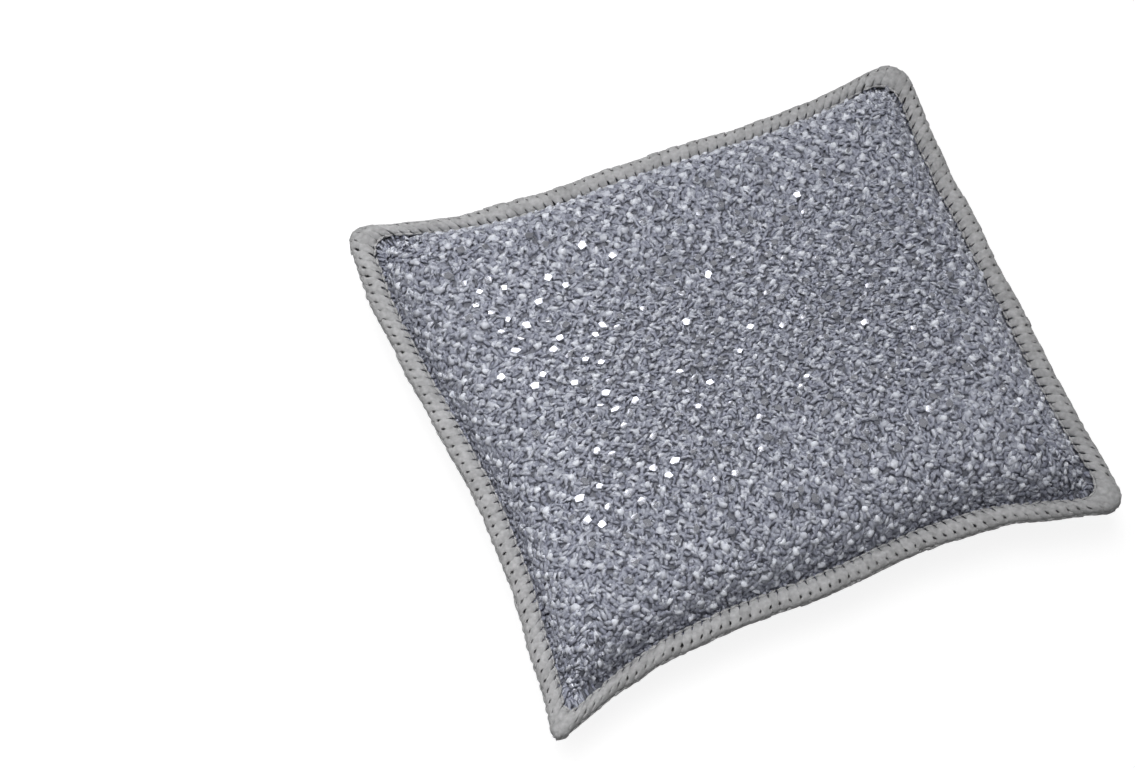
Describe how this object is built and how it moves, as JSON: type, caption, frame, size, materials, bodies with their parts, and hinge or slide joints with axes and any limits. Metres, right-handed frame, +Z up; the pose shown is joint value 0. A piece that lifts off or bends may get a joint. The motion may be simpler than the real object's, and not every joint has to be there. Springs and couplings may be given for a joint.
{
  "type": "scrub sponge",
  "caption": "Pillow-shaped kitchen scrub sponge: foam pad in knitted metallised-yarn covers, overlocked together all round with bulky grey thread.",
  "frame": {"origin": "middle of the outline, on the surface that the lower cover rests on", "axes": "+X along the longer edges, +Y from the front edge to the back edge, +Z up out of the upper cover"},
  "size_m": [0.1154, 0.11, 0.025],
  "materials": {
    "knit": "knit of metallised polyester film yarn, glittering",
    "thread": "bulked polyester overlocking thread, matt",
    "foam": "open-cell polyurethane foam"
  },
  "bodies": {
    "root": {"foam_core": "foam", "top_cover": "knit", "bottom_cover": "knit", "overlock_edging": "thread"}
  },
  "joints": []
}
